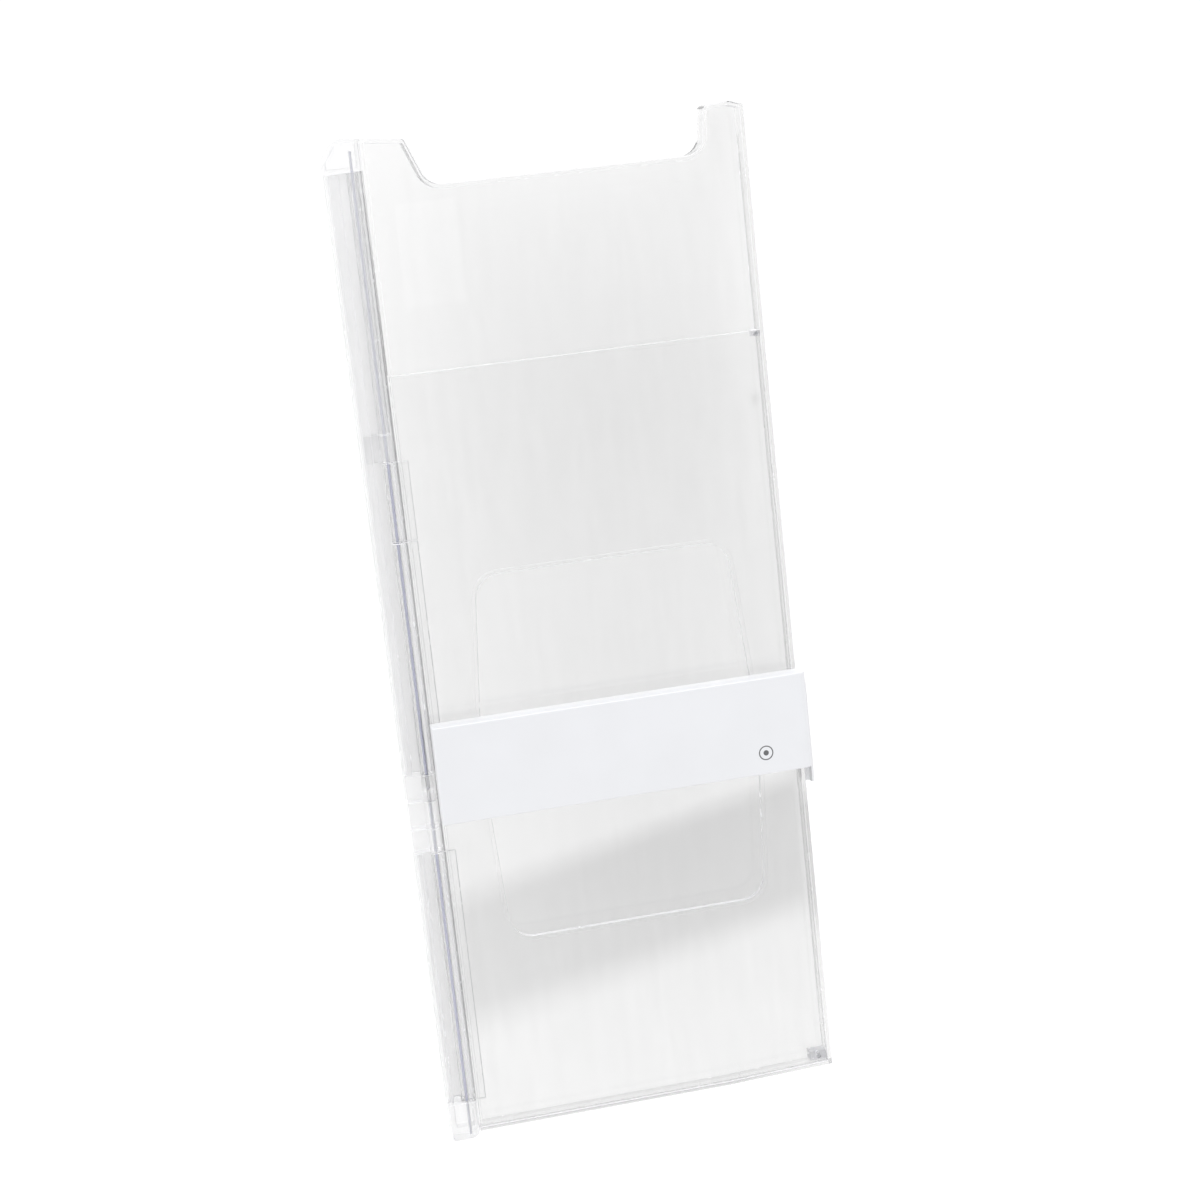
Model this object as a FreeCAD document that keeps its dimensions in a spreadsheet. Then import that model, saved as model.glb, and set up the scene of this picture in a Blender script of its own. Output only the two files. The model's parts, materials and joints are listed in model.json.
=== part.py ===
"""Wall magazine rack in clear plastic: a shallow tray with a side-hinged front door.

Millimetres. Inside each sub-part X runs right from the hinge axis, Y runs back from the door's
front face and Z runs up from the tray's underside. Each sub-part's Placement then moves the
origin to the middle of the two wall-screw holes, on the back face, with the front facing -Y.
"""
import FreeCAD, Part
import os
import Sketcher

# ---------------------------------------------------------------- driving dimensions

SIZES = [
    # the tray
    ("case_right", 236.0, "hinge axis to the outer right face"),
    ("case_left", 6.0, "hinge axis to the outer face of the tray's left wall"),
    ("case_depth", 15.0, "front edge to the wall face"),
    ("wall", 2.5, "tray wall and door thickness"),
    ("notch_z", 582.8, "bottom of the wide notch in the top edge"),
    ("notch_left", 43.7, "left corner of the notch"),
    ("notch_right", 208.5, "right corner of the notch"),
    ("ear_z", 610.7, "inner tip of each ear"),
    ("ear_left", 32.5, "inner tip of the left ear"),
    ("ear_right", 211.4, "inner tip of the right ear"),
    ("ear_slope", 0.115, "rise of the ears' top edges, outward"),
    ("ear_chamfer", 9.0, "width of the chamfer on the right ear"),
    ("notch_round", 12.0, "radius of the notch corners"),
    ("tip_round", 3.0, "radius of the ears' tips"),
    ("sweep_start", 166.0, "where the bottom edge starts to rise towards the right"),
    ("sweep_rise", 2.0, "rise of the bottom edge at the right"),
    ("hinge_relief", 5.2, "depth cut from the left wall behind the door's hinge edge"),
    # the wall screws
    ("mount_x", 121.5, "middle of the screw holes"),
    ("mount_z", 235.0, "height of the screw holes"),
    ("screw_pitch", 143.0, "distance between the screw holes"),
    ("screw_hole_r", 2.25, "screw hole radius"),
    # the door
    ("gap", 0.6, "clearance round the door"),
    ("door_top", 475.0, "top edge of the door"),
    ("bead_w", 2.4, "width of the raised beads on the door"),
    ("bead_out", 0.8, "how far the beads stand out"),
    ("window_x", 121.3, "middle of the window"),
    ("window_low", 120.5, "bottom of the window"),
    ("window_high", 349.6, "top of the window"),
    ("window_mid_z", 234.5, "where the window is widest"),
    ("window_top_half", 78.0, "half width at the top"),
    ("window_mid_half", 87.4, "half width where it is widest"),
    ("window_low_half", 81.0, "half width at the bottom"),
    ("window_round", 15.0, "corner radius of the window"),
    ("bead_round", 17.4, "corner radius of the window's bead"),
    ("window_bow", 160.0, "radius that softens the window's widest point"),
    # the hinge column
    ("axis_y", 3.6, "hinge axis behind the door's front face"),
    ("barrel_r", 3.6, "hinge barrel radius"),
    ("rod_r", 0.9, "hinge rod radius"),
    ("rod_fit", 0.06, "running clearance of the sleeves on the rod, radial"),
    ("rod_seat", 0.02, "clearance of the rod in its fixed seats, radial"),
    ("leaf_w", 12.0, "hinge axis to the end of a sleeve's leaf"),
    ("leaf_thick", 1.8, "thickness of a sleeve's leaf"),
    ("spine_front", 4.0, "front face of the spine rails"),
    ("spine_wall", 2.2, "wall of the spine rails"),
    ("spine_low_w", 12.1, "hinge axis to the spine's outer face, low end"),
    ("spine_low_z", 18.0, "height where that is measured"),
    ("spine_taper", 0.0075, "how much wider the spine gets per millimetre of height"),
    ("flange_edge", 8.0, "hinge axis to the edge of the rails' front flange"),
    ("seam", 0.3, "gap between stacked hinge pieces"),
    ("foot_low", -4.0, "underside of the hinge foot"),
    ("foot_high", 20.0, "top of the hinge foot"),
    ("foot_round", 6.0, "radius of the hinge foot's inner corner"),
    ("low_clip", 183.0, "underside of the lower bracket"),
    ("low_clip_top", 198.0, "top of the lower bracket"),
    ("mid_clip", 215.5, "underside of the middle bracket"),
    ("mid_clip_top", 231.5, "top of the middle bracket"),
    ("sleeve_break", 376.0, "joint between the middle and upper door sleeves"),
    ("top_clip", 424.5, "underside of the upper bracket"),
    ("top_clip_top", 441.0, "top of the upper bracket"),
    ("cap_low", 595.5, "underside of the top cap"),
    ("cap_shoulder", 604.0, "where the top cap's corner is cut"),
    ("cap_corner", 7.5, "hinge axis to the top cap's cut corner"),
    ("rod_top", 607.0, "top end of the upper hinge rod"),
    # the push bar and its carrier
    ("bar_left", 4.2, "left end of the push bar"),
    ("bar_right", 237.9, "right end of the push bar"),
    ("bar_low", 204.0, "bottom edge of the push bar"),
    ("bar_high", 264.5, "top edge of the push bar"),
    ("bar_front", 17.0, "front face of the push bar, ahead of the door"),
    ("bar_wall", 2.2, "wall of the push bar"),
    ("bar_end_wall", 6.3, "wall at the rounded right end"),
    ("bar_end_round", 5.5, "rounding of the right end"),
    ("bar_tip_round", 1.6, "rounding of the left end"),
    ("bar_edge_round", 0.8, "rounding of the long front edges"),
    ("bar_travel", 2.4, "how far the bar presses in"),
    ("bar_slack", 0.2, "gap left behind the bar's skirt when it is pressed right in"),
    ("carrier_front", 7.0, "front of the carrier's outer frame"),
    ("carrier_inset", 0.8, "how far the carrier's frame stays inside the bar's outline"),
    ("collar_front", 11.5, "front of the collar that guides the bar"),
    ("collar_gap", 0.5, "clearance of the collar inside the bar"),
    ("collar_wall", 1.6, "wall of the collar"),
    ("carrier_base", 2.0, "front of the carrier's floor, ahead of the door"),
    ("lift", 0.6, "gap between the carrier's ends and the tray"),
    ("seat_left", 8.0, "left end of the carrier's seat on the door"),
    ("seat_right", 232.0, "right end of the carrier's seat on the door"),
    ("post_x", 16.0, "left guide posts"),
    ("post_far_x", 224.5, "right guide posts"),
    ("post_z", 217.0, "lower guide posts and carrier screws"),
    ("post_high_z", 252.0, "upper guide posts and carrier screws"),
    ("post_r", 2.2, "guide post radius"),
    ("post_end", 3.6, "tip of the guide posts, ahead of the door"),
    ("bush_r", 3.6, "guide bush radius"),
    ("bush_front", 6.6, "front of the guide bushes"),
    ("bush_floor", 0.8, "plastic left under each guide bore"),
    ("bush_fit", 0.3, "clearance of the posts in the bushes, radial"),
    ("bar_screw_x", 27.0, "left carrier screws"),
    ("bar_screw_far_x", 214.0, "right carrier screws"),
    ("bar_screw_r", 1.4, "carrier screw shank radius"),
    ("bar_screw_fit", 0.1, "clearance of the carrier screws in their holes, radial"),
    ("bar_screw_head_r", 2.8, "carrier screw head radius"),
    ("bar_screw_head", 1.8, "carrier screw head height"),
    ("bar_screw_end", 5.0, "tip of the carrier screws, ahead of the door"),
    ("boss_r", 3.2, "radius of the carrier's screw bosses"),
    ("boss_front", 6.0, "front of the screw bosses"),
    # the latch
    ("bolt_half", 5.5, "half the bolt's height"),
    ("bolt_back", 3.4, "back face of the bolt, ahead of the door"),
    ("bolt_face", 5.8, "front face of the bolt, ahead of the door"),
    ("bolt_tip", 238.0, "right end of the bolt"),
    ("bolt_start", 194.0, "left end of the bolt"),
    ("wedge_start", 196.0, "left end of the bolt's wedge"),
    ("wedge_half", 4.0, "half the wedge's height"),
    ("ramp_foot", 205.6, "foot of the wedge's 45 degree ramp"),
    ("ramp_rise", 6.0, "how far the wedge stands out from the bolt"),
    ("slip", 0.3, "clearance round the bolt"),
    ("rib_gap", 0.42, "gap from the push rib to the ramp, along X"),
    ("rib_end", 8.4, "tip of the push rib, ahead of the door"),
    ("rib_w", 4.2, "width of the push rib's tip"),
    ("guide_start", 180.0, "left end of the bolt guide"),
    ("guide_end", 228.0, "right end of the bolt guide"),
    ("guide_stop", 4.0, "thickness of the guide's spring stop"),
    ("guide_side", 3.0, "side walls of the bolt guide"),
    ("guide_strap", 1.4, "strap over the bolt"),
    ("strap_left", 193.0, "left edge of the opening in the strap"),
    ("strap_right", 208.2, "right edge of the opening in the strap"),
    ("keeper_low", 191.0, "bottom of the keeper"),
    ("keeper_high", 258.0, "top of the keeper"),
    ("keeper_lip", 238.3, "inner face of the keeper's lip, beside the bolt"),
    ("keeper_side", 239.8, "outer face of the keeper"),
    ("keeper_nose", 7.0, "front of the keeper, ahead of the door"),
    ("keeper_back", 11.0, "back end of the keeper, behind the door's front face"),
    ("magnet_half", 5.0, "half the magnet's height"),
    ("magnet_front", 6.2, "front of the magnet, ahead of the door"),
    ("magnet_back", 2.8, "back of the magnet, ahead of the door"),
    ("magnet_thick", 0.9, "thickness of the magnet"),
    # small pieces
    ("spring_r", 3.0, "coil radius of the bar's return springs"),
    ("spring_wire", 0.3, "wire radius of the bar's return springs"),
    ("spring_pitch", 2.5, "pitch of the bar's return springs"),
    ("bolt_spring_r", 1.05, "coil radius of the bolt spring"),
    ("bolt_spring_wire", 0.2, "wire radius of the bolt spring"),
    ("bolt_spring_pitch", 1.6, "pitch of the bolt spring"),
    ("spring_play", 0.05, "gap at each end of the springs"),
    ("stop_w", 10.6, "width of the lower door stop"),
    ("stop_h", 6.4, "height of the lower door stop"),
    ("stop_small", 4.0, "width and height of the upper door stop"),
    ("stop_front", 5.0, "front face of the door stops"),
    ("bumper_r", 1.4, "radius of the soft bumpers"),
    ("bumper_front", 2.8, "front face of the soft bumpers"),
    ("mark_x", 207.8, "middle of the press symbol"),
    ("mark_z", 217.5, "middle of the press symbol"),
    ("mark_r", 4.6, "outer radius of the press symbol's ring"),
    ("mark_line", 0.7, "line width of the ring"),
    ("mark_dot", 1.7, "radius of the press symbol's dot"),
    ("mark_depth", 0.25, "depth of the symbol's inlay"),
]

SLEEVES = [
    ("hinge_sleeve_upper", "Spec.sleeve_break + Spec.seam", "Spec.top_clip - Spec.seam"),
    ("hinge_sleeve_middle", "Spec.mid_clip_top + Spec.seam", "Spec.sleeve_break - Spec.seam"),
    ("hinge_sleeve_lower", "Spec.foot_high + Spec.seam", "Spec.low_clip - Spec.seam"),
]
CORNER_BLOCKS = [
    ("hinge_bracket_middle", "Spec.mid_clip", "Spec.mid_clip_top"),
    ("spine_splice", "Spec.low_clip_top + Spec.seam", "Spec.mid_clip - Spec.seam"),
    ("hinge_bracket_lower", "Spec.low_clip", "Spec.low_clip_top"),
]
RAILS = [
    ("spine_rail_upper", "Spec.mid_clip_top + Spec.seam", "Spec.cap_low - Spec.seam"),
    ("spine_rail_lower", "Spec.foot_high + Spec.seam", "Spec.low_clip - Spec.seam"),
]
FOUR_POSTS = [(x, z) for x in ("Spec.post_x", "Spec.post_far_x")
              for z in ("Spec.post_z", "Spec.post_high_z")]
FOUR_SCREWS = [(x, z) for x in ("Spec.bar_screw_x", "Spec.bar_screw_far_x")
               for z in ("Spec.post_z", "Spec.post_high_z")]
BORE = "Spec.rod_r + Spec.rod_seat"
RAIL_BACK = "Spec.case_depth - Spec.spine_wall"
RAIL_INNER_FRONT = "Spec.spine_front + Spec.spine_wall"

doc = FreeCAD.newDocument("MagazineRack")
spec = doc.addObject("Spreadsheet::Sheet", "Spec")
for row, (alias, amount, meaning) in enumerate(SIZES, start=1):
    spec.set("A%d" % row, meaning)
    spec.set("B%d" % row, str(amount))
    spec.setAlias("B%d" % row, alias)
doc.recompute()

size = {alias: amount for alias, amount, meaning in SIZES}
nodes = []


# ---------------------------------------------------------------- helpers

def value(expression):
    """The present value of a sheet expression, in millimetres."""
    return float(spec.evalExpression(expression))


def spine_edge(z):
    """The spine's outer face at height z: it leans out a little towards the top."""
    return "-(Spec.spine_low_w + ((%s) - Spec.spine_low_z) * Spec.spine_taper)" % z


def finish(thing, label):
    """Names a sub-part and moves it from the hinge axis's frame to the wall screws' frame."""
    thing.Label = label
    thing.setExpression("Placement.Base.x", "-Spec.mount_x")
    thing.setExpression("Placement.Base.y", "-Spec.case_depth")
    thing.setExpression("Placement.Base.z", "-Spec.mount_z")
    nodes.append(thing)


def new_body(label):
    body = doc.addObject("PartDesign::Body", label)
    finish(body, label)
    return body


def origin_plane(body, role):
    return next(f for f in body.Origin.OriginFeatures if f.Role == role)


def pin_point(sketch, geometry, end, across, up):
    """Holds one point of the sketch at two sheet expressions."""
    for kind, expression in (("DistanceX", across), ("DistanceY", up)):
        place = Sketcher.Constraint(kind, -1, 1, geometry, end, value(expression))
        index = sketch.addConstraint(place)
        sketch.setExpression("Constraints[%d]" % index, expression)


def add_outline(sketch, corners):
    """A closed run of straight lines through corners given as pairs of expressions."""
    places = [FreeCAD.Vector(value(a), value(b), 0) for a, b in corners]
    lines = []
    for start, end in zip(places, places[1:] + places[:1]):
        lines.append(sketch.addGeometry(Part.LineSegment(start, end), False))
    for line, following in zip(lines, lines[1:] + lines[:1]):
        sketch.addConstraint(Sketcher.Constraint("Coincident", line, 2, following, 1))
    for line, (across, up) in zip(lines, corners):
        pin_point(sketch, line, 1, across, up)


def add_circle(sketch, across, up, radius):
    centre = FreeCAD.Vector(value(across), value(up), 0)
    up_axis = FreeCAD.Vector(0, 0, 1)
    circle = sketch.addGeometry(Part.Circle(centre, up_axis, value(radius)), False)
    pin_point(sketch, circle, 3, across, up)
    index = sketch.addConstraint(Sketcher.Constraint("Radius", circle, value(radius)))
    sketch.setExpression("Constraints[%d]" % index, radius)


def rectangle(left, right, low, high):
    return [(left, low), (right, low), (right, high), (left, high)]


def drawn(body, name, role, offset, outlines, circles):
    """A sketch on one of the body's own planes, moved along the plane's normal."""
    sketch = body.newObject("Sketcher::SketchObject", name + "_sketch")
    sketch.AttachmentSupport = (origin_plane(body, role), [""])
    sketch.MapMode = "FlatFace"
    sketch.setExpression("AttachmentOffset.Base.z", offset)
    for corners in outlines:
        add_outline(sketch, corners)
    for across, up, radius in circles:
        add_circle(sketch, across, up, radius)
    return sketch


def extruded(body, kind, name, sketch, length):
    feature = body.newObject(kind, name)
    feature.Profile = sketch
    feature.setExpression("Length", length)
    doc.recompute()
    return feature


def pad_back(body, name, front, back, outlines=(), circles=()):
    """Adds material between two depths, from a front view drawn in X and Z."""
    sketch = drawn(body, name, "XZ_Plane", "-(%s)" % back, outlines, circles)
    return extruded(body, "PartDesign::Pad", name, sketch, "(%s) - (%s)" % (back, front))


def pad_up(body, name, low, high, outlines=(), circles=()):
    """Adds material between two heights, from a plan drawn in X and Y."""
    sketch = drawn(body, name, "XY_Plane", low, outlines, circles)
    return extruded(body, "PartDesign::Pad", name, sketch, "(%s) - (%s)" % (high, low))


def removed(body, name, sketch, length):
    """A pocket, checked to have taken material away."""
    before = body.Shape.Volume
    feature = extruded(body, "PartDesign::Pocket", name, sketch, length)
    if body.Shape.Volume >= before:
        raise RuntimeError(name + " cut nothing")
    return feature


def pocket_back(body, name, front, back, outlines=(), circles=()):
    """Removes material between two depths, from a front view drawn in X and Z."""
    sketch = drawn(body, name, "XZ_Plane", "-(%s)" % front, outlines, circles)
    return removed(body, name, sketch, "(%s) - (%s)" % (back, front))


def pocket_down(body, name, low, high, outlines=(), circles=()):
    """Removes material between two heights, from a plan drawn in X and Y."""
    sketch = drawn(body, name, "XY_Plane", high, outlines, circles)
    return removed(body, name, sketch, "(%s) - (%s)" % (high, low))


def fillet(body, name, alias, wanted):
    """Rounds the edges of the body's tip that pass a test."""
    base = body.Tip
    edges = ["Edge%d" % i for i, edge in enumerate(base.Shape.Edges, start=1) if wanted(edge)]
    feature = body.newObject("PartDesign::Fillet", name)
    feature.Base = (base, edges)
    feature.setExpression("Radius", "Spec." + alias)
    doc.recompute()
    return feature


def runs_along(edge, axis):
    """True for a straight edge that runs along X, Y or Z."""
    if not isinstance(edge.Curve, Part.Line):
        return False
    return abs(abs(getattr(edge.Curve.Direction, axis)) - 1) < 1e-6


def stands_at(edge, x=None, y=None, z=None, reach=0.05):
    """True when the edge's middle is at the given coordinates."""
    middle = edge.CenterOfMass
    wanted = ((middle.x, x), (middle.y, y), (middle.z, z))
    return all(place is None or abs(at - place) < reach for at, place in wanted)


# ---------------------------------------------------------------- the fixed tray

def make_rear_tray():
    """Back panel with a wall all round, following the notch between the two ears."""
    body = new_body("rear_tray")
    peak = "Spec.case_right - Spec.ear_chamfer"
    pad_back(body, "tray_block", "0", "Spec.case_depth", [[
        ("Spec.case_left", "0"),
        ("Spec.sweep_start", "0"),
        ("Spec.case_right", "Spec.sweep_rise"),
        ("Spec.case_right", "Spec.ear_z - Spec.ear_slope * Spec.ear_chamfer"),
        (peak, "Spec.ear_z + Spec.ear_slope * (%s - Spec.ear_right)" % peak),
        ("Spec.ear_right", "Spec.ear_z"),
        ("Spec.notch_right", "Spec.notch_z"),
        ("Spec.notch_left", "Spec.notch_z"),
        ("Spec.ear_left", "Spec.ear_z"),
        ("Spec.case_left", "Spec.ear_z + Spec.ear_slope * (Spec.ear_left - Spec.case_left)"),
    ]])
    fillet(body, "notch_corners", "notch_round", lambda e: runs_along(e, "y") and any(
        stands_at(e, x=size[side], z=size["notch_z"]) for side in ("notch_left", "notch_right")))
    fillet(body, "ear_tips", "tip_round", lambda e: runs_along(e, "y") and any(
        stands_at(e, x=size[side], z=size["ear_z"]) for side in ("ear_left", "ear_right")))
    base = body.Tip
    front = [i for i, face in enumerate(base.Shape.Faces, start=1)
             if abs(face.CenterOfMass.y) < 1e-6]
    hollow = body.newObject("PartDesign::Thickness", "tray_hollow")
    hollow.Base = (base, ["Face%d" % front[0]])
    hollow.Reversed = True
    hollow.setExpression("Value", "Spec.wall")
    doc.recompute()
    pocket_back(body, "hinge_relief", "0", "Spec.hinge_relief", [rectangle(
        "Spec.case_left", "Spec.case_left + Spec.wall", "Spec.wall", "Spec.door_top + Spec.gap")])
    pocket_back(body, "screw_holes", "0", "Spec.case_depth", circles=[
        ("Spec.mount_x %s Spec.screw_pitch / 2" % sign, "Spec.mount_z", "Spec.screw_hole_r")
        for sign in "-+"])


def make_spine_rails():
    """Channels that close the hinge column's outer side, above and below the middle blocks."""
    for label, low, high in RAILS:
        body = new_body(label)
        edge_low = spine_edge(low)
        edge_high = spine_edge(high)
        pad_back(body, label + "_block", "Spec.spine_front", "Spec.case_depth", [[
            (edge_low, low), ("Spec.case_left", low),
            ("Spec.case_left", high), (edge_high, high)]])
        pocket_back(body, label + "_channel", RAIL_INNER_FRONT, RAIL_BACK, [[
            (edge_low + " + Spec.spine_wall", low), ("Spec.case_left", low),
            ("Spec.case_left", high), (edge_high + " + Spec.spine_wall", high)]])
        pocket_back(body, label + "_mouth", "Spec.spine_front", RAIL_INNER_FRONT, [rectangle(
            "-Spec.flange_edge", "Spec.case_left", low, high)])


def pad_knuckle(body, name, low, high, neck_left, neck_back):
    """A neck from the back to the rod, rounded off and bored for the rod."""
    pad_up(body, name + "_neck", low, high, [rectangle(
        neck_left, "Spec.barrel_r", "Spec.axis_y", neck_back)])
    pad_up(body, name + "_barrel", low, high, circles=[("0", "Spec.axis_y", "Spec.barrel_r")])
    pocket_down(body, name + "_bore", low, high, circles=[("0", "Spec.axis_y", BORE)])


def make_upper_bracket():
    """Carries the rod inside the upper rail, with an arm held in the rail's channel."""
    body = new_body("hinge_bracket_upper")
    low = "Spec.top_clip"
    high = "Spec.top_clip_top"
    arm_end = spine_edge(low) + " + Spec.spine_wall"
    pad_up(body, "upper_bracket_arm", low, high, [rectangle(
        arm_end, "0", RAIL_INNER_FRONT, RAIL_BACK)])
    pad_knuckle(body, "upper_bracket", low, high, "-Spec.barrel_r", RAIL_BACK)


def make_corner_blocks():
    """Two brackets and the splice between them fill the column where the rails stop."""
    for label, low, high in CORNER_BLOCKS:
        body = new_body(label)
        pad_up(body, label + "_block", low, high, [rectangle(
            spine_edge(low), "0", "Spec.spine_front", "Spec.case_depth")])
        pad_up(body, label + "_flange", low, high, [rectangle(
            "0", "Spec.case_left", RAIL_BACK, "Spec.case_depth")])
        pad_knuckle(body, label, low, high, "-Spec.barrel_r", "Spec.case_depth")


def make_upper_cover():
    """Covers the rod above the door's hinge, up to the top cap."""
    body = new_body("hinge_cover_upper")
    pad_knuckle(body, "upper_cover", "Spec.top_clip_top + Spec.seam", "Spec.cap_low - Spec.seam",
                "Spec.barrel_r - Spec.spine_wall", RAIL_BACK)


def make_top_cap():
    """Closes the hinge column beside the left ear, with its outer corner cut off."""
    body = new_body("hinge_cap_top")
    edge = spine_edge("Spec.cap_low")
    top_right = "Spec.ear_z + (Spec.ear_left - Spec.case_left) * Spec.ear_slope"
    top_left = "Spec.ear_z + (Spec.ear_left + Spec.cap_corner) * Spec.ear_slope"
    inner_low = "Spec.cap_low + Spec.spine_wall"
    inner_right = "Spec.case_left - Spec.spine_wall"
    pad_back(body, "cap_block", "0", "Spec.case_depth", [[
        (edge, "Spec.cap_low"), ("Spec.case_left", "Spec.cap_low"),
        ("Spec.case_left", top_right), ("-Spec.cap_corner", top_left),
        (edge, "Spec.cap_shoulder")]])
    pocket_back(body, "cap_hollow", "Spec.axis_y * 2", "Spec.case_depth", [[
        (edge + " + Spec.spine_wall", inner_low), (inner_right, inner_low),
        (inner_right, top_right + " - Spec.spine_wall"),
        ("-Spec.cap_corner", top_right + " - Spec.spine_wall"),
        (edge + " + Spec.spine_wall", "Spec.cap_shoulder - Spec.spine_wall")]])
    pocket_down(body, "cap_bore", "Spec.cap_low", "Spec.rod_top + Spec.seam",
                circles=[("0", "Spec.axis_y", BORE)])


def make_foot():
    """The rounded foot under the hinge column, reaching a little below the tray."""
    body = new_body("hinge_foot")
    right = "Spec.case_left - Spec.seam"
    pad_back(body, "foot_block", "0", "Spec.case_depth", [[
        (spine_edge("Spec.foot_low"), "Spec.foot_low"), (right, "Spec.foot_low"),
        (right, "Spec.foot_high"), (spine_edge("Spec.foot_high"), "Spec.foot_high")]])
    fillet(body, "foot_heel", "foot_round", lambda e: runs_along(e, "y") and stands_at(
        e, x=size["case_left"] - size["seam"], z=size["foot_low"]))
    fillet(body, "foot_toe", "wall", lambda e: runs_along(e, "y") and stands_at(
        e, x=value(spine_edge("Spec.foot_low")), z=size["foot_low"]))
    pocket_back(body, "foot_hollow", "Spec.axis_y * 2", "Spec.case_depth", [rectangle(
        "-Spec.flange_edge", right + " - Spec.spine_wall",
        "Spec.spine_wall", "Spec.foot_high - Spec.spine_wall")])
    pocket_down(body, "foot_bore", "Spec.foot_low + Spec.spine_wall", "Spec.foot_high",
                circles=[("0", "Spec.axis_y", BORE)])


def make_rods():
    """Two steel rods that the door turns on, end to end inside the splice."""
    split = "(Spec.low_clip_top + Spec.mid_clip) / 2"
    foot = "Spec.foot_low + Spec.spine_wall + Spec.seam"
    for label, low, high in (("hinge_rod_upper", split, "Spec.rod_top"),
                             ("hinge_rod_lower", foot, split + " - Spec.seam")):
        body = new_body(label)
        pad_up(body, label + "_pad", low, high, circles=[("0", "Spec.axis_y", "Spec.rod_r")])


def make_keeper():
    """The keeper beside the door's free edge: a block with a lip that holds the magnet."""
    body = new_body("latch_keeper")
    low = "Spec.keeper_low"
    high = "Spec.keeper_high"
    pad_up(body, "keeper_block", low, high, [[
        ("Spec.case_right", "0"), ("Spec.keeper_lip", "0"),
        ("Spec.keeper_lip", "-Spec.keeper_nose"), ("Spec.keeper_side", "-Spec.keeper_nose"),
        ("Spec.keeper_side", "Spec.keeper_back"), ("Spec.case_right", "Spec.keeper_back")]])
    ends = (size["keeper_low"], size["keeper_high"])
    fillet(body, "keeper_corners", "tip_round", lambda e: runs_along(e, "x") and any(
        stands_at(e, y=y, z=z) for y in (-size["keeper_nose"], size["keeper_back"]) for z in ends))
    pocket_down(body, "magnet_pocket", "Spec.mount_z - Spec.magnet_half",
                "Spec.mount_z + Spec.magnet_half", [rectangle(
                    "Spec.keeper_lip", "Spec.keeper_lip + Spec.magnet_thick",
                    "-Spec.magnet_front", "-Spec.magnet_back")])
    magnet = new_body("keeper_magnet")
    pad_up(magnet, "magnet_pad", "Spec.mount_z - Spec.magnet_half",
           "Spec.mount_z + Spec.magnet_half", [rectangle(
               "Spec.keeper_lip", "Spec.keeper_lip + Spec.magnet_thick",
               "-Spec.magnet_front", "-Spec.magnet_back")])


def stop_places():
    """Left, right, low and high expressions of the lower and upper door stops."""
    right = "Spec.case_right - Spec.wall"
    low = "Spec.sweep_rise + Spec.wall"
    return [(right + " - Spec.stop_w", right, low, low + " + Spec.stop_h"),
            (right + " - Spec.stop_small", right, "Spec.door_top - Spec.stop_small",
             "Spec.door_top")]


def make_stops():
    """Blocks in the tray's right corners that the closed door rests against, with soft pads."""
    inner_back = "Spec.case_depth - Spec.wall"
    for label, (left, right, low, high) in zip(("door_stop_lower", "door_stop_upper"),
                                               stop_places()):
        body = new_body(label)
        pad_back(body, label + "_pad", "Spec.stop_front", inner_back,
                 [rectangle(left, right, low, high)])
    pads = []
    for index, (left, right, low, high) in enumerate(stop_places()):
        pad = doc.addObject("Part::Cylinder", "bumper_%d" % index)
        pad.setExpression("Radius", "Spec.bumper_r")
        pad.setExpression("Height", "Spec.stop_front - Spec.bumper_front")
        pad.Placement.Rotation = FreeCAD.Rotation(FreeCAD.Vector(1, 0, 0), -90)
        pad.setExpression("Placement.Base.x", "((%s) + (%s)) / 2" % (left, right))
        pad.setExpression("Placement.Base.y", "Spec.bumper_front")
        pad.setExpression("Placement.Base.z", "((%s) + (%s)) / 2" % (low, high))
        pads.append(pad)
    group = doc.addObject("Part::Compound", "door_bumpers")
    group.Links = pads
    finish(group, "door_bumpers")


# ---------------------------------------------------------------- the door

def window_outline(grow):
    """The window's six corners, moved out by an expression."""
    low = "Spec.window_low - (%s)" % grow
    high = "Spec.window_high + (%s)" % grow
    rows = [(low, "Spec.window_low_half"), ("Spec.window_mid_z", "Spec.window_mid_half"),
            (high, "Spec.window_top_half")]
    right = [("Spec.window_x + %s + (%s)" % (half, grow), z) for z, half in rows]
    left = [("Spec.window_x - %s - (%s)" % (half, grow), z) for z, half in reversed(rows)]
    return right + left


def pad_window(body, name, front, back, grow, corner_round):
    """Adds the window's outline, moved out by a sheet amount, with softened corners."""
    pad_back(body, name, front, back, [window_outline(grow)])
    out = value(grow)
    corners = [(size["window_low"] - out, size["window_low_half"] + out),
               (size["window_high"] + out, size["window_top_half"] + out)]
    widest = [(size["window_mid_z"], size["window_mid_half"] + out)]
    for suffix, places, radius in (("_corners", corners, corner_round),
                                   ("_sides", widest, "window_bow")):
        spots = [(size["window_x"] + side * half, z) for z, half in places for side in (-1, 1)]
        fillet(body, name + suffix, radius, lambda e: runs_along(e, "y") and any(
            stands_at(e, x=x, z=z) for x, z in spots))


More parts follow.
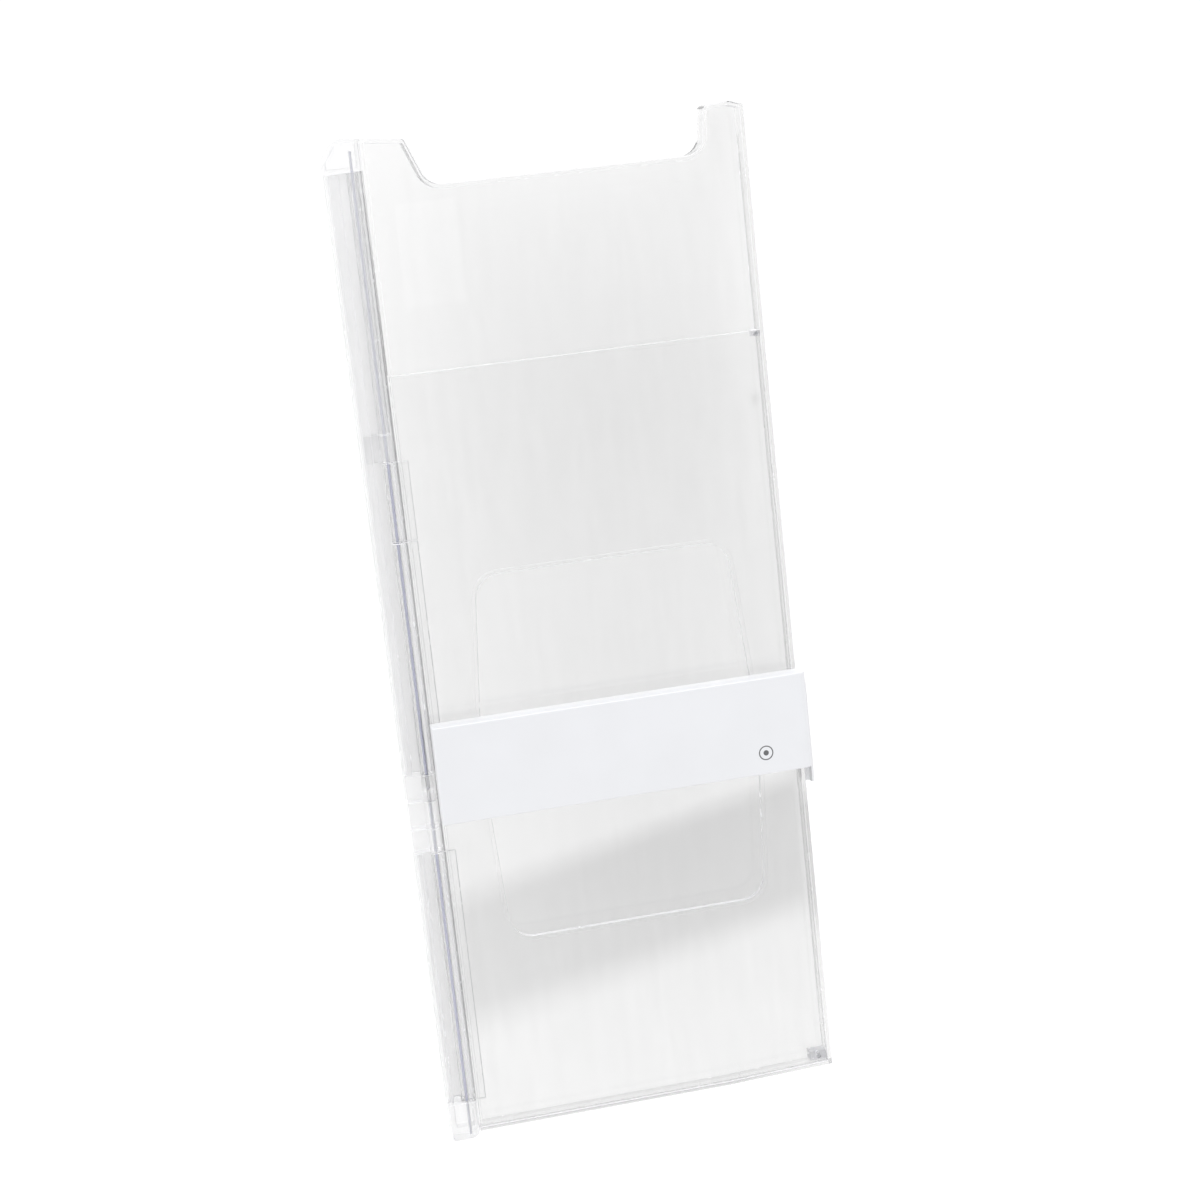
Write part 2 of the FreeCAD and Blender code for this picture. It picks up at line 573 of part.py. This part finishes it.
def make_door_panel():
    """Flat panel with a window, and raised beads round the window and along the top edge."""
    blank = doc.addObject("PartDesign::Body", "door_blank")
    left = "Spec.case_left + Spec.gap"
    right = "Spec.case_right - Spec.wall - Spec.gap"
    low = "Spec.wall + Spec.gap"
    pad_window(blank, "window_bead", "-Spec.bead_out", "0", "Spec.bead_w", "bead_round")
    pad_back(blank, "top_bead", "-Spec.bead_out", "0", [rectangle(
        left, right, "Spec.door_top - Spec.bead_w", "Spec.door_top")])
    pocket_back(blank, "carrier_seat", "-Spec.bead_out", "0", [rectangle(
        left, right, "Spec.bar_low", "Spec.bar_high")])
    pad_back(blank, "panel", "0", "Spec.wall", [[
        (left, low), ("Spec.sweep_start", low), (right, low + " + Spec.sweep_rise"),
        (right, "Spec.door_top"), (left, "Spec.door_top")]])
    pocket_back(blank, "carrier_screw_holes", "0", "Spec.wall", circles=[
        (x, z, "Spec.bar_screw_r + Spec.bar_screw_fit") for x, z in FOUR_SCREWS])
    opening = doc.addObject("PartDesign::Body", "window_opening")
    pad_window(opening, "window", "-Spec.wall", "Spec.wall * 2", "0 * Spec.wall", "window_round")
    panel = doc.addObject("Part::Cut", "door_panel")
    panel.Base = blank
    panel.Tool = opening
    doc.recompute()
    finish(panel, "door_panel")


def make_sleeves():
    """Hinge sleeves that turn on the rods, each with a leaf bonded behind the door."""
    for label, low, high in SLEEVES:
        body = new_body(label)
        pad_up(body, label + "_leaf", low, high, [rectangle(
            "0", "Spec.leaf_w", "Spec.wall", "Spec.wall + Spec.leaf_thick")])
        pad_up(body, label + "_barrel", low, high,
               circles=[("0", "Spec.axis_y", "Spec.barrel_r")])
        pocket_down(body, label + "_bore", low, high,
                    circles=[("0", "Spec.axis_y", "Spec.rod_r + Spec.rod_fit")])


def make_carrier():
    """The white frame on the door that guides the push bar and holds the latch."""
    body = new_body("bar_carrier")
    inset = "Spec.carrier_inset"
    shrink = "Spec.bar_wall + Spec.collar_gap"
    collar = rectangle("Spec.bar_left + " + shrink,
                       "Spec.bar_right - Spec.bar_end_wall - Spec.collar_gap",
                       "Spec.bar_low + " + shrink, "Spec.bar_high - (%s)" % shrink)
    inside = [(collar[0][0] + " + Spec.collar_wall", collar[0][1] + " + Spec.collar_wall"),
              (collar[1][0] + " - Spec.collar_wall", collar[1][1] + " + Spec.collar_wall"),
              (collar[2][0] + " - Spec.collar_wall", collar[2][1] + " - Spec.collar_wall"),
              (collar[3][0] + " + Spec.collar_wall", collar[3][1] + " - Spec.collar_wall")]
    low = "Spec.bar_low + " + inset
    high = "Spec.bar_high - " + inset
    pad_back(body, "carrier_frame", "-Spec.carrier_front", "-Spec.lift", [rectangle(
        "Spec.bar_left + " + inset, "Spec.bar_right - " + inset, low, high)])
    pad_back(body, "carrier_seat_pad", "-Spec.lift", "0", [rectangle(
        "Spec.seat_left", "Spec.seat_right", low, high)])
    pad_back(body, "carrier_collar", "-Spec.collar_front", "-Spec.carrier_front", [collar])
    pocket_back(body, "carrier_inside", "-Spec.collar_front", "-Spec.carrier_base", [inside])
    pad_back(body, "guide_bushes", "-Spec.bush_front", "-Spec.carrier_base", circles=[
        (x, z, "Spec.bush_r") for x, z in FOUR_POSTS])
    pad_back(body, "screw_bosses", "-Spec.boss_front", "-Spec.carrier_base", circles=[
        (x, z, "Spec.boss_r") for x, z in FOUR_SCREWS])
    pocket_back(body, "guide_bores", "-Spec.bush_front", "-Spec.bush_floor", circles=[
        (x, z, "Spec.post_r + Spec.bush_fit") for x, z in FOUR_POSTS])
    pocket_back(body, "screw_bores", "-Spec.boss_front", "0", circles=[
        (x, z, "Spec.bar_screw_r + Spec.bar_screw_fit") for x, z in FOUR_SCREWS])
    tall = "(Spec.bolt_half + Spec.slip)"
    pocket_back(body, "bolt_slot", "-(Spec.bolt_face + Spec.slip)", "-(Spec.bolt_back - Spec.slip)",
                [rectangle(inside[1][0], "Spec.bar_right", "Spec.mount_z - " + tall,
                           "Spec.mount_z + " + tall)])


def make_carrier_screws():
    """Four screws from behind the door panel into the carrier's bosses."""
    screws = []
    for index, (x, z) in enumerate(FOUR_SCREWS):
        shank = doc.addObject("Part::Cylinder", "screw_shank_%d" % index)
        head = doc.addObject("Part::Cylinder", "screw_head_%d" % index)
        lengths = ((shank, "Spec.bar_screw_r", "-Spec.bar_screw_end", "Spec.wall"),
                   (head, "Spec.bar_screw_head_r", "Spec.wall",
                    "Spec.wall + Spec.bar_screw_head"))
        for piece, radius, front, back in lengths:
            piece.setExpression("Radius", radius)
            piece.setExpression("Height", "(%s) - (%s)" % (back, front))
            piece.Placement.Rotation = FreeCAD.Rotation(FreeCAD.Vector(1, 0, 0), -90)
            piece.setExpression("Placement.Base.x", x)
            piece.setExpression("Placement.Base.y", front)
            piece.setExpression("Placement.Base.z", z)
        screw = doc.addObject("Part::MultiFuse", "carrier_screw_%d" % index)
        screw.Shapes = [shank, head]
        screws.append(screw)
    group = doc.addObject("Part::Compound", "carrier_screws")
    group.Links = screws
    finish(group, "carrier_screws")


def make_bolt_guide():
    """A channel on the carrier's floor: spring stop, side walls and straps over the bolt."""
    body = new_body("bolt_guide")
    tall = "(Spec.bolt_half + Spec.slip)"
    face = "Spec.bolt_face + Spec.slip"
    low = "Spec.mount_z - " + tall
    high = "Spec.mount_z + " + tall
    pad_back(body, "guide_block", "-(%s + Spec.guide_strap)" % face, "-Spec.carrier_base", [
        rectangle("Spec.guide_start", "Spec.guide_end",
                  low + " - Spec.guide_side", high + " + Spec.guide_side")])
    pocket_back(body, "guide_channel", "-(%s)" % face, "-(Spec.bolt_back - Spec.slip)", [
        rectangle("Spec.guide_start + Spec.guide_stop", "Spec.guide_end", low, high)])
    pocket_back(body, "strap_opening", "-(%s + Spec.guide_strap)" % face, "-(%s)" % face, [
        rectangle("Spec.strap_left", "Spec.strap_right", low, high)])


# ---------------------------------------------------------------- the push bar and latch

def make_push_bar():
    """The white bar: a shallow cover with guide posts and a rib that drives the bolt."""
    body = new_body("push_bar")
    inner = "-(Spec.bar_front - Spec.bar_wall)"
    skirt = "-(Spec.carrier_front + Spec.bar_travel + Spec.bar_slack)"
    pad_back(body, "bar_block", "-Spec.bar_front", skirt, [rectangle(
        "Spec.bar_left", "Spec.bar_right", "Spec.bar_low", "Spec.bar_high")])
    ends = (("bar_right", "bar_end_round"), ("bar_left", "bar_tip_round"))
    for side, radius in ends:
        fillet(body, radius + "ing", radius, lambda e: runs_along(e, "z") and stands_at(
            e, x=size[side], y=-size["bar_front"]))
    fillet(body, "bar_long_edges", "bar_edge_round",
           lambda e: stands_at(e, y=-size["bar_front"], z=size["bar_low"])
           or stands_at(e, y=-size["bar_front"], z=size["bar_high"]))
    pocket_back(body, "bar_hollow", inner, skirt, [rectangle(
        "Spec.bar_left + Spec.bar_wall", "Spec.bar_right - Spec.bar_end_wall",
        "Spec.bar_low + Spec.bar_wall", "Spec.bar_high - Spec.bar_wall")])
    pad_back(body, "guide_posts", inner, "-Spec.post_end", circles=[
        (x, z, "Spec.post_r") for x, z in FOUR_POSTS])
    face = "Spec.ramp_foot + Spec.rib_gap + Spec.bolt_face"
    tip = "%s - Spec.rib_end" % face
    pad_up(body, "push_rib", "Spec.mount_z - Spec.wedge_half", "Spec.mount_z + Spec.wedge_half", [[
        ("%s - (Spec.bar_front - Spec.bar_wall)" % face, inner), (tip, "-Spec.rib_end"),
        (tip + " + Spec.rib_w", "-Spec.rib_end"), (tip + " + Spec.rib_w", inner)]])
    pocket_back(body, "mark_ring_recess", "-Spec.bar_front", "-(Spec.bar_front - Spec.mark_depth)",
                circles=mark_ring() + mark_dot())


def mark_ring():
    return [("Spec.mark_x", "Spec.mark_z", "Spec.mark_r"),
            ("Spec.mark_x", "Spec.mark_z", "Spec.mark_r - Spec.mark_line")]


def mark_dot():
    return [("Spec.mark_x", "Spec.mark_z", "Spec.mark_dot")]


def make_press_mark():
    """The press symbol's ring and dot, inlaid flush in the bar's front face."""
    depth = ("-Spec.bar_front", "-(Spec.bar_front - Spec.mark_depth)")
    for label, circles in (("press_mark_ring", mark_ring()), ("press_mark_dot", mark_dot())):
        body = new_body(label)
        pad_back(body, label + "_pad", depth[0], depth[1], circles=circles)


def coil(name, radius, wire, pitch, length):
    """A coil spring up Z from the origin, with a round wire."""
    helix = doc.addObject("Part::Helix", name + "_path")
    helix.setExpression("Radius", radius)
    helix.setExpression("Pitch", pitch)
    helix.setExpression("Height", "(%s) - 2 * %s" % (length, wire))
    helix.setExpression("Placement.Base.z", wire)
    section = doc.addObject("Part::Circle", name + "_section")
    section.setExpression("Radius", wire)
    section.Placement.Rotation = FreeCAD.Rotation(FreeCAD.Vector(1, 0, 0), 90)
    section.setExpression("Placement.Base.x", radius)
    section.setExpression("Placement.Base.z", wire)
    spring = doc.addObject("Part::Sweep", name)
    spring.Sections = [section]
    spring.Spine = (helix, ["Edge1"])
    spring.Solid = True
    spring.Frenet = True
    return spring


def make_springs():
    """Four return springs round the guide posts, and one behind the bolt."""
    room = "Spec.bar_front - Spec.bar_wall - Spec.bush_front - 2 * Spec.spring_play"
    springs = []
    for index, (x, z) in enumerate(FOUR_POSTS):
        spring = coil("return_spring_%d" % index, "Spec.spring_r", "Spec.spring_wire",
                      "Spec.spring_pitch", room)
        spring.Placement.Rotation = FreeCAD.Rotation(FreeCAD.Vector(1, 0, 0), 90)
        spring.setExpression("Placement.Base.x", x)
        spring.setExpression("Placement.Base.y", "-Spec.bush_front - Spec.spring_play")
        spring.setExpression("Placement.Base.z", z)
        springs.append(spring)
    group = doc.addObject("Part::Compound", "bar_return_springs")
    group.Links = springs
    finish(group, "bar_return_springs")
    start = "Spec.guide_start + Spec.guide_stop"
    spring = coil("bolt_spring_coil", "Spec.bolt_spring_r", "Spec.bolt_spring_wire",
                  "Spec.bolt_spring_pitch", "Spec.bolt_start - (%s) - 2 * Spec.spring_play" % start)
    spring.Placement.Rotation = FreeCAD.Rotation(FreeCAD.Vector(0, 1, 0), 90)
    spring.setExpression("Placement.Base.x", start + " + Spec.spring_play")
    spring.setExpression("Placement.Base.y", "-(Spec.bolt_face + Spec.bolt_back) / 2")
    spring.setExpression("Placement.Base.z", "Spec.mount_z")
    group = doc.addObject("Part::Compound", "bolt_spring")
    group.Links = [spring]
    finish(group, "bolt_spring")


def make_latch_bolt():
    """A flat steel bolt with a wedge that the push rib drives back from the keeper."""
    body = new_body("latch_bolt")
    pad_back(body, "bolt_bar", "-Spec.bolt_face", "-Spec.bolt_back", [rectangle(
        "Spec.bolt_start", "Spec.bolt_tip",
        "Spec.mount_z - Spec.bolt_half", "Spec.mount_z + Spec.bolt_half")])
    top = "-(Spec.bolt_face + Spec.ramp_rise)"
    pad_up(body, "bolt_wedge", "Spec.mount_z - Spec.wedge_half", "Spec.mount_z + Spec.wedge_half", [[
        ("Spec.wedge_start", "-Spec.bolt_face"), ("Spec.wedge_start", top),
        ("Spec.ramp_foot - Spec.ramp_rise", top), ("Spec.ramp_foot", "-Spec.bolt_face")]])


# ---------------------------------------------------------------- build, check and write

make_rear_tray()
make_spine_rails()
make_upper_bracket()
make_corner_blocks()
make_upper_cover()
make_top_cap()
make_foot()
make_rods()
make_keeper()
make_stops()
make_door_panel()
make_sleeves()
make_carrier()
make_carrier_screws()
make_bolt_guide()
make_push_bar()
make_press_mark()
make_springs()
make_latch_bolt()
doc.recompute()

for thing in doc.Objects:
    if "Invalid" in thing.State or "Error" in thing.State:
        raise RuntimeError("%s did not compute" % thing.Name)
for node in nodes:
    if node.Shape.isNull() or not node.Shape.isValid() or not node.Shape.Solids:
        raise RuntimeError("%s has no valid solid" % node.Label)

os.makedirs("parts", exist_ok=True)
for node in nodes:
    node.Shape.exportStep("parts/%s.step" % node.Label)
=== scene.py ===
"""Looks for the wall magazine rack: clear moulded plastic, a white push bar and small metal parts."""

import json
import math

import bpy
from mathutils import Matrix, Vector


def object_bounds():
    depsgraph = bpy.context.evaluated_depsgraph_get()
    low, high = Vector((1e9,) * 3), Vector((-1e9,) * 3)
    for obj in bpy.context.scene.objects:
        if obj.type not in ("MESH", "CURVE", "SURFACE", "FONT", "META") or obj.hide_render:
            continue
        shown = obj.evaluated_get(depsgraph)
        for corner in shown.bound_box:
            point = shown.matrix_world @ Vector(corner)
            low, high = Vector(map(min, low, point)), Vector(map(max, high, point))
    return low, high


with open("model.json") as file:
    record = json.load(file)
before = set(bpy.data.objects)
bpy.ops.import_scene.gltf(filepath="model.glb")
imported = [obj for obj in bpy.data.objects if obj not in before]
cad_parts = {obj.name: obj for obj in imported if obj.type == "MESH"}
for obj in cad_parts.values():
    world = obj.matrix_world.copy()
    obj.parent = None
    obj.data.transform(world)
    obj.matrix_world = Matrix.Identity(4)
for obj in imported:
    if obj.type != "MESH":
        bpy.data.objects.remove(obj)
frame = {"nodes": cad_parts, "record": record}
cad_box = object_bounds()
slots = {s["node"]: s["material_slot"] for s in frame["record"]["subparts"]}
MM = 0.001
WHITE = (1, 1, 1, 1)
WORLD_STRENGTH = 1.08
# Light crosses many clear faces here, and edges go black when its bounces run out.
LIGHT_BOUNCES = 64

# ---------------------------------------------------------------- camera

CAMERA_AZIMUTH = -10.74
CAMERA_ELEVATION = 11.29
CAMERA_ROLL = -6.18
CAMERA_DISTANCE = 1.518
CAMERA_LENS = 74.9
CAMERA_TARGET = Vector((-0.0038, -0.015, 0.0893))


def make_camera():
    """A camera at the front left, a little above, rolled so that the rack leans."""
    azimuth, elevation, roll = (math.radians(a) for a in (
        CAMERA_AZIMUTH, CAMERA_ELEVATION, CAMERA_ROLL))
    back = Vector((math.sin(azimuth) * math.cos(elevation),
                   -math.cos(azimuth) * math.cos(elevation), math.sin(elevation)))
    level_right = Vector((math.cos(azimuth), math.sin(azimuth), 0))
    level_up = back.cross(level_right)
    right = math.cos(roll) * level_right + math.sin(roll) * level_up
    up = back.cross(right)
    data = bpy.data.cameras.new("photo_camera")
    data.lens = CAMERA_LENS
    data.sensor_width = 36
    data.clip_start = 0.01
    data.clip_end = 60
    camera = bpy.data.objects.new("photo_camera", data)
    place = Matrix((right, up, back)).transposed().to_4x4()
    place.translation = CAMERA_TARGET + back * CAMERA_DISTANCE
    camera.matrix_world = place
    bpy.context.scene.collection.objects.link(camera)
    bpy.context.scene.camera = camera


# ---------------------------------------------------------------- materials

def new_material(name):
    """A material with its node tree and its shader."""
    material = bpy.data.materials.new(name)
    material.use_nodes = True
    nodes = material.node_tree.nodes
    shader = next(n for n in nodes if n.type == "BSDF_PRINCIPLED")
    return material, material.node_tree, shader


def noise(tree, scale, detail, stretch=(1, 1, 1)):
    """Noise fixed to the object, with its own stretch along X, Y and Z."""
    place = tree.nodes.new("ShaderNodeTexCoord")
    mapping = tree.nodes.new("ShaderNodeMapping")
    mapping.inputs["Scale"].default_value = stretch
    texture = tree.nodes.new("ShaderNodeTexNoise")
    texture.inputs["Scale"].default_value = scale
    texture.inputs["Detail"].default_value = detail
    tree.links.new(place.outputs["Object"], mapping.inputs["Vector"])
    tree.links.new(mapping.outputs["Vector"], texture.inputs["Vector"])
    return texture.outputs["Fac"]


def spread(tree, source, low, high, at_low=0.3, at_high=0.7):
    """Maps noise to a range of values."""
    ranged = tree.nodes.new("ShaderNodeMapRange")
    ranged.inputs["From Min"].default_value = at_low
    ranged.inputs["From Max"].default_value = at_high
    ranged.inputs["To Min"].default_value = low
    ranged.inputs["To Max"].default_value = high
    tree.links.new(source, ranged.inputs["Value"])
    return ranged.outputs["Result"]


def two_tone(tree, source, dark, light, at_dark=0.35, at_light=0.65):
    """Maps noise to a mix of two close colours."""
    ramp = tree.nodes.new("ShaderNodeValToRGB")
    ramp.color_ramp.elements[0].position = at_dark
    ramp.color_ramp.elements[0].color = (*dark, 1)
    ramp.color_ramp.elements[1].position = at_light
    ramp.color_ramp.elements[1].color = (*light, 1)
    tree.links.new(source, ramp.inputs["Fac"])
    return ramp.outputs["Color"]


def bump(tree, shader, source, strength, depth):
    """Fine relief, with its depth in metres."""
    relief = tree.nodes.new("ShaderNodeBump")
    relief.inputs["Strength"].default_value = strength
    relief.inputs["Distance"].default_value = depth
    tree.links.new(source, relief.inputs["Height"])
    tree.links.new(relief.outputs["Normal"], shader.inputs["Normal"])


def clear_plastic(name, dark, light, smooth, rough, ripple, streaks=(1, 1, 0.15), bend=1.49,
                  milky=0.0):
    """Clear styrene: faint cloudiness, fine handling marks or draw lines, a slow moulding ripple."""
    material, tree, shader = new_material(name)
    shader.inputs["Transmission Weight"].default_value = 1.0 - milky
    shader.inputs["IOR"].default_value = bend
    tree.links.new(two_tone(tree, noise(tree, 160, 3, streaks), dark, light),
                   shader.inputs["Base Color"])
    tree.links.new(spread(tree, noise(tree, 240, 4, streaks), smooth, rough, 0.45, 0.8),
                   shader.inputs["Roughness"])
    bump(tree, shader, noise(tree, 14, 1), 0.25, ripple)
    return material


def polished_edge(name, milky):
    """The rounded edges of clear mouldings, which catch the light as fine white lines."""
    material, tree, shader = new_material(name)
    shader.inputs["Transmission Weight"].default_value = 1.0 - milky
    shader.inputs["IOR"].default_value = 1.3
    tree.links.new(two_tone(tree, noise(tree, 90, 2), (0.95, 0.95, 0.98), (0.985, 0.985, 1.0)),
                   shader.inputs["Base Color"])
    tree.links.new(spread(tree, noise(tree, 120, 3), 0.12, 0.3), shader.inputs["Roughness"])
    return material


def satin_plastic(name, dark, light, rough_low, rough_high, grain, depth):
    """Opaque moulded plastic with a fine spark-eroded grain."""
    material, tree, shader = new_material(name)
    tone = noise(tree, 25, 2)
    tree.links.new(two_tone(tree, tone, dark, light), shader.inputs["Base Color"])
    tree.links.new(spread(tree, noise(tree, 60, 3), rough_low, rough_high),
                   shader.inputs["Roughness"])
    bump(tree, shader, noise(tree, grain, 4), 0.3, depth)
    return material


def metal(name, dark, light, rough_low, rough_high, stretch):
    """Drawn or plated metal with fine lines along the piece."""
    material, tree, shader = new_material(name)
    shader.inputs["Metallic"].default_value = 1.0
    lines = noise(tree, 400, 3, stretch)
    tree.links.new(two_tone(tree, lines, dark, light), shader.inputs["Base Color"])
    tree.links.new(spread(tree, lines, rough_low, rough_high), shader.inputs["Roughness"])
    bump(tree, shader, lines, 0.2, 0.00002)
    return material


def make_materials():
    return {
        "clear_tray": clear_plastic("clear_tray_plastic", (0.905, 0.905, 0.905),
                                    (0.92, 0.92, 0.92), 0.0, 0.03, 0.00008),
        "clear_door": clear_plastic("clear_door_plastic", (0.945, 0.945, 0.945),
                                    (0.96, 0.96, 0.96), 0.0, 0.03, 0.00008),
        "clear_hinge": clear_plastic("clear_hinge_plastic", (0.95, 0.95, 0.955),
                                     (0.985, 0.985, 0.99), 0.12, 0.22, 0.00004, (1, 1, 0.01),
                                     1.35, 0.25),
        "white_bar": satin_plastic("white_bar_plastic", (0.735, 0.742, 0.765),
                                   (0.752, 0.76, 0.785), 0.38, 0.46, 2600, 0.00001),
        "white_inner": satin_plastic("white_inner_plastic", (0.78, 0.785, 0.80),
                                     (0.80, 0.805, 0.82), 0.5, 0.6, 2200, 0.00002),
        "grey_mark": satin_plastic("grey_mark_ink", (0.10, 0.10, 0.105),
                                   (0.14, 0.14, 0.145), 0.55, 0.65, 3000, 0.00001),
        "steel": metal("drawn_steel", (0.44, 0.45, 0.56), (0.56, 0.57, 0.68),
                       0.22, 0.36, (1, 1, 0.02)),
        "magnet": metal("nickel_plate", (0.55, 0.54, 0.52), (0.66, 0.65, 0.63),
                        0.12, 0.2, (1, 1, 1)),
        "soft_pad": clear_plastic("soft_pad_rubber", (0.86, 0.87, 0.88),
                                  (0.9, 0.91, 0.92), 0.25, 0.4, 0.00002),
        "clear_edge": polished_edge("clear_edge_plastic", 0.6),
    }


# ---------------------------------------------------------------- finish on the CAD pieces

# Millimetres: how much smaller a piece is drawn than its solid, so that touching clear pieces don't
# share a surface, how far apart points are joined, a depth that no plate's thickness reaches, and
# the rounding of the edges in each material slot.
GLUE_GAP = 0.04
JOIN_WITHIN = 0.01
PLATE = 4.2
BEVELS = {
    "clear_tray": 0.5,
    "clear_door": 0.5,
    "clear_hinge": 0.35,
    "white_inner": 0.25,
    "white_bar": 0.2,
    "magnet": 0.1,
}
# Degrees between faces: below the first they are one flat face, and above the second their edge is
# rounded.
FLAT_ANGLE = 0.5
EDGE_ANGLE = 40
# The most that a cut wall's normal may have along Y.
SIDEWAYS = 0.3
FULL_SIZE = ("rear_tray", "door_panel", "push_bar")


def cut_wall(mesh, face):
    """True for the walls round a plate's outline and openings, which are as deep as it is thick."""
    depths = [mesh.vertices[v].co.y for v in face.vertices]
    return abs(face.normal.y) < SIDEWAYS and max(depths) - min(depths) < PLATE * MM


def mould_edges(node, thing, slot):
    """Rounds a piece's edges, evens its shading and leaves the glue gap round it."""
    weld = thing.modifiers.new("join_faces", "WELD")
    weld.merge_threshold = JOIN_WITHIN * MM
    merge = thing.modifiers.new("whole_faces", "DECIMATE")
    merge.decimate_type = "DISSOLVE"
    merge.angle_limit = math.radians(FLAT_ANGLE)
    merge.delimit = {"MATERIAL"}
    edge = thing.modifiers.new("moulded_edges", "BEVEL")
    edge.width = BEVELS[slot] * MM
    edge.segments = 2
    edge.limit_method = "ANGLE"
    edge.angle_limit = math.radians(EDGE_ANGLE)
    edge.use_clamp_overlap = True
    if slot.startswith("clear"):
        edge.material = 1
    shading = thing.modifiers.new("even_shading", "WEIGHTED_NORMAL")
    shading.keep_sharp = False
    if node not in FULL_SIZE:
        gap = thing.modifiers.new("glue_gap", "DISPLACE")
        gap.strength = -GLUE_GAP * MM
        gap.mid_level = 0


def dress(materials):
    """Gives each CAD piece its material, and moulded edges where its slot has them."""
    for node, thing in frame["nodes"].items():
        slot = slots[node]
        thing.data.materials.clear()
        # The small door stops are all edge, so they take the edge material.
        moulding = "clear_edge" if node.startswith("door_stop") else slot
        thing.data.materials.append(materials[moulding])
        if slot.startswith("clear"):
            thing.data.materials.append(materials["clear_edge"])
        if node in ("door_panel", "rear_tray"):
            for face in thing.data.polygons:
                face.material_index = int(cut_wall(thing.data, face))
        if slot in BEVELS:
            mould_edges(node, thing, slot)


# ---------------------------------------------------------------- stage

FLOOR_HALF = 30.0
FLOOR_HEIGHT = -0.75
FLOOR_GLOW = 0.06


def flat_sheet(name, corners):
    """One flat face in the scene, made from its four corners."""
    data = bpy.data.meshes.new(name)
    data.from_pydata(corners, [], [(0, 1, 2, 3)])
    sheet = bpy.data.objects.new(name, data)
    bpy.context.scene.collection.objects.link(sheet)
    return sheet


def square(half):
    """The corners of a square round the origin."""
    return [(-half, -half), (half, -half), (half, half), (-half, half)]


def paint(name, scale, dark, light, shine, glow):
    """Matt paint or paper that glows a little, with a faint cloudiness between two greys."""
    material, tree, shader = new_material(name)
    tree.links.new(two_tone(tree, noise(tree, scale, 2), (dark,) * 3, (light,) * 3),
                   shader.inputs["Base Color"])
    shader.inputs["Roughness"].default_value = 0.9
    shader.inputs["Specular IOR Level"].default_value = shine
    shader.inputs["Emission Color"].default_value = WHITE
    shader.inputs["Emission Strength"].default_value = glow
    return material


def make_floor():
    """A wide pale floor, well below the rack, that fades into the backdrop."""
    floor = flat_sheet("pale_floor", [(x, y, FLOOR_HEIGHT) for x, y in square(FLOOR_HALF)])
    floor.data.materials.append(paint("pale_floor_paper", 3, 0.95, 0.97, 0.5, FLOOR_GLOW))


# The rack leans on a white wall with its top right corner, so the wall falls away from it to the
# left and downwards: how far back it is for each metre along X and Z, and its gap at that corner.
WALL_ALONG = -0.275
WALL_UP = -0.21
WALL_GAP = 0.006
WALL_HALF = 1.2
WALL_GLOW = 0.3


def make_wall():
    """A plain white wall behind the rack, seen only through the clear plastic."""
    right, back, top = cad_box[1]
    wall = flat_sheet("white_wall", [
        (x, back + WALL_GAP + WALL_ALONG * (x - right) + WALL_UP * (z - top), z)
        for x, z in square(WALL_HALF)])
    wall.data.materials.append(paint("white_wall_paint", 4, 0.49, 0.5, 0, WALL_GLOW))
    wall.visible_camera = False
    wall.visible_diffuse = False
    wall.visible_glossy = False
    wall.visible_shadow = False
    return wall


def make_world():
    """Even white surroundings."""
    world = bpy.data.worlds.new("studio")
    world.use_nodes = True
    bpy.context.scene.world = world
    background = next(n for n in world.node_tree.nodes if n.type == "BACKGROUND")
    background.inputs["Color"].default_value = WHITE
    background.inputs["Strength"].default_value = WORLD_STRENGTH


def area_light(name, place, aim, size, power):
    """A softbox that faces a point, hidden from the camera; metres and watts."""
    data = bpy.data.lights.new(name, "AREA")
    data.shape = "RECTANGLE"
    data.size, data.size_y = size
    data.energy = power
    light = bpy.data.objects.new(name, data)
    light.location = place
    light.rotation_mode = "QUATERNION"
    light.rotation_quaternion = (Vector(aim) - Vector(place)).to_track_quat("-Z", "Y")
    light.visible_camera = False
    bpy.context.scene.collection.objects.link(light)
    return light


def group(name, things):
    """A collection for light linking."""
    made = bpy.data.collections.new(name)
    for thing in things:
        made.objects.link(thing)
    return made


def light_studio(wall):
    """Plain softboxes: one for the wall only, one overhead for upper edges, two in front."""
    pieces = group("pieces", frame["nodes"].values())
    opaque = group("opaque_pieces", [thing for node, thing in frame["nodes"].items()
                                     if not slots[node].startswith("clear")])
    on_wall = area_light("softbox_wall", (-0.384, -2.782, 2.554), (0, 0.13, -0.15),
                        (0.25, 0.235), 112)
    on_wall.light_linking.receiver_collection = group("white_wall_only", [wall])
    on_wall.light_linking.blocker_collection = opaque
    top = area_light("softbox_top", (0, 0.1, 1.9), (0, 0, 0.1), (1.2, 0.8), 15)
    top.light_linking.receiver_collection = pieces
    top.light_linking.blocker_collection = opaque
    area_light("softbox_left", (-1.6, -1.6, 1.8), (0, 0, 0.05), (1.4, 1.4), 6)
    area_light("softbox_front", (0.275, -2.6, 0.17), (0, 0, 0.17), (0.10, 0.17), 0.012)


make_camera()
dress(make_materials())
make_floor()
light_studio(make_wall())
make_world()
scene = bpy.context.scene
scene.view_settings.view_transform = "Standard"
scene.cycles.max_bounces = LIGHT_BOUNCES
scene.cycles.transmission_bounces = LIGHT_BOUNCES
scene.cycles.glossy_bounces = LIGHT_BOUNCES
